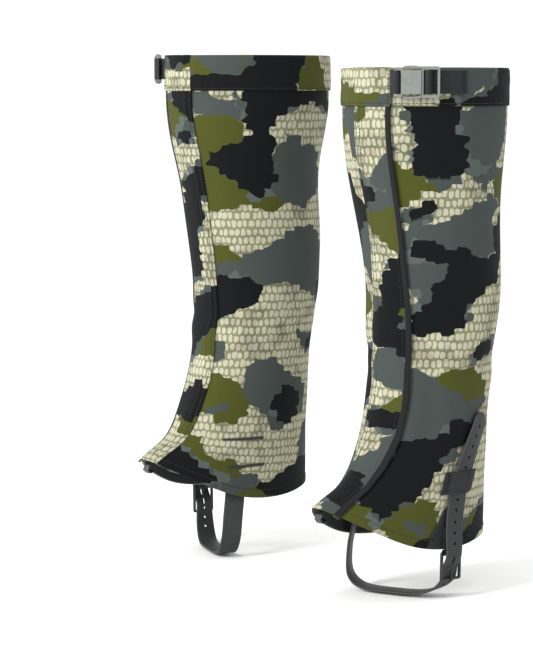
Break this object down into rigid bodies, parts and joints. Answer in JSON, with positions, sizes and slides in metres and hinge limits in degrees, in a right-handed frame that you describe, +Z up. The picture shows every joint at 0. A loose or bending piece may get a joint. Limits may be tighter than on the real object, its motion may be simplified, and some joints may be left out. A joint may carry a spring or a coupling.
{
  "type": "pair of knee-high gaiters",
  "caption": "Pair of knee-high camouflage gaiters with a front closing flap, cuff buckle and instep strap, shaped as worn.",
  "frame": {"origin": "on the ground midway between the two legs, below the shafts' axes", "axes": "+Z up along the legs, the toes point to -Y, +X to the wearer's left"},
  "size_m": [0.4053, 0.2136, 0.487],
  "materials": {
    "camouflage_cloth": "brushed woven stretch cloth, printed with blocks of slate, charcoal, olive and pale scales",
    "dark_edging": "narrow folded woven edging",
    "hook_and_loop": "matte hook and loop tape",
    "elastic": "knitted elastic",
    "coated_patch": "black coated tear-resistant fabric",
    "webbing": "ribbed nylon webbing",
    "buckle_plastic": "moulded grey-green acetal with a fine grain",
    "strap_rubber": "smooth matte coated webbing with punched holes",
    "black_metal": "satin black"
  },
  "bodies": {
    "right_gaiter": {"right_lateral_panel": "camouflage_cloth", "right_medial_panel": "camouflage_cloth", "right_cuff_band": "camouflage_cloth", "right_cuff_flap": "camouflage_cloth", "right_upper_flap": "camouflage_cloth", "right_upper_flap_edging": "dark_edging", "right_hem_binding": "dark_edging", "right_loop_tape": "hook_and_loop", "right_upper_hook_tape": "hook_and_loop", "right_ankle_elastic": "elastic", "right_medial_strap_patch": "coated_patch", "right_strap_anchor_patch": "coated_patch", "right_strap_buckle_tab": "coated_patch", "right_strap_keeper": "coated_patch", "right_buckle_webbing": "webbing", "right_anchor_webbing": "webbing", "right_buckle_socket": "buckle_plastic", "right_instep_strap": "strap_rubber", "right_strap_buckle_frame": "black_metal", "right_lace_hook": "black_metal"},
    "right_flap_corner": {"right_lower_flap": "camouflage_cloth", "right_lower_flap_edging": "dark_edging", "right_lower_hook_tape": "hook_and_loop"},
    "right_buckle_plug": {"right_buckle_plug": "buckle_plastic", "right_tail_webbing": "webbing"},
    "right_upper_latch": {"right_upper_latch_arm": "buckle_plastic"},
    "right_lower_latch": {"right_lower_latch_arm": "buckle_plastic"},
    "right_strap_prong": {"right_strap_buckle_prong": "black_metal"},
    "left_gaiter": {"left_lateral_panel": "camouflage_cloth", "left_medial_panel": "camouflage_cloth", "left_cuff_band": "camouflage_cloth", "left_cuff_flap": "camouflage_cloth", "left_upper_flap": "camouflage_cloth", "left_upper_flap_edging": "dark_edging", "left_hem_binding": "dark_edging", "left_loop_tape": "hook_and_loop", "left_upper_hook_tape": "hook_and_loop", "left_ankle_elastic": "elastic", "left_medial_strap_patch": "coated_patch", "left_strap_anchor_patch": "coated_patch", "left_strap_buckle_tab": "coated_patch", "left_strap_keeper": "coated_patch", "left_buckle_webbing": "webbing", "left_anchor_webbing": "webbing", "left_buckle_socket": "buckle_plastic", "left_instep_strap": "strap_rubber", "left_strap_buckle_frame": "black_metal", "left_lace_hook": "black_metal"},
    "left_flap_corner": {"left_lower_flap": "camouflage_cloth", "left_lower_flap_edging": "dark_edging", "left_lower_hook_tape": "hook_and_loop"},
    "left_buckle_plug": {"left_buckle_plug": "buckle_plastic", "left_tail_webbing": "webbing"},
    "left_upper_latch": {"left_upper_latch_arm": "buckle_plastic"},
    "left_lower_latch": {"left_lower_latch_arm": "buckle_plastic"},
    "left_strap_prong": {"left_strap_buckle_prong": "black_metal"}
  },
  "joints": [
    {"name": "left_gaiter_stride", "type": "slide", "parent": "right_gaiter", "child": "left_gaiter", "axis": [0, -1, 0], "range_m": [-0.3, 0.3]},
    {"name": "right_flap_peel", "type": "hinge", "parent": "right_gaiter", "child": "right_flap_corner", "pos_m": [-0.13264, -0.09822, 0.14128], "axis": [-0.3964, 0.6442, 0.6541], "range_deg": [0, 55]},
    {"name": "right_buckle_release", "type": "slide", "parent": "right_gaiter", "child": "right_buckle_plug", "axis": [-0.749, 0.6626, 0], "range_m": [0, 0.022]},
    {"name": "right_upper_latch_squeeze", "type": "hinge", "parent": "right_buckle_plug", "child": "right_upper_latch", "pos_m": [-0.18396, -0.06325, 0.48695], "axis": [0.6626, 0.749, 0], "range_deg": [0, 5], "stiffness_Nm_per_rad": 0.05},
    {"name": "right_lower_latch_squeeze", "type": "hinge", "parent": "right_buckle_plug", "child": "right_lower_latch", "pos_m": [-0.18396, -0.06325, 0.46205], "axis": [0.6626, 0.749, 0], "range_deg": [-5, 0], "stiffness_Nm_per_rad": 0.05},
    {"name": "right_prong_lift", "type": "hinge", "parent": "right_gaiter", "child": "right_strap_prong", "pos_m": [-0.1766, -0.015, 0.056], "axis": [0, 1, 0], "range_deg": [0, 18]},
    {"name": "left_flap_peel", "type": "hinge", "parent": "left_gaiter", "child": "left_flap_corner", "pos_m": [0.13264, -0.09822, 0.12828], "axis": [-0.3964, -0.6442, -0.6541], "range_deg": [0, 55]},
    {"name": "left_buckle_release", "type": "slide", "parent": "left_gaiter", "child": "left_buckle_plug", "axis": [0.749, 0.6626, 0], "range_m": [0, 0.022]},
    {"name": "left_upper_latch_squeeze", "type": "hinge", "parent": "left_buckle_plug", "child": "left_upper_latch", "pos_m": [0.18032, -0.05913, 0.47395], "axis": [0.6626, -0.749, 0], "range_deg": [0, 5], "stiffness_Nm_per_rad": 0.05},
    {"name": "left_lower_latch_squeeze", "type": "hinge", "parent": "left_buckle_plug", "child": "left_lower_latch", "pos_m": [0.18032, -0.05913, 0.44905], "axis": [0.6626, -0.749, 0], "range_deg": [-5, 0], "stiffness_Nm_per_rad": 0.05},
    {"name": "left_prong_lift", "type": "hinge", "parent": "left_gaiter", "child": "left_strap_prong", "pos_m": [0.1766, -0.015, 0.043], "axis": [0, -1, 0], "range_deg": [0, 18]}
  ],
  "couplings": [
    {"joint": "right_lower_latch_squeeze", "follows": "right_upper_latch_squeeze", "ratio": -1},
    {"joint": "left_lower_latch_squeeze", "follows": "left_upper_latch_squeeze", "ratio": -1}
  ]
}
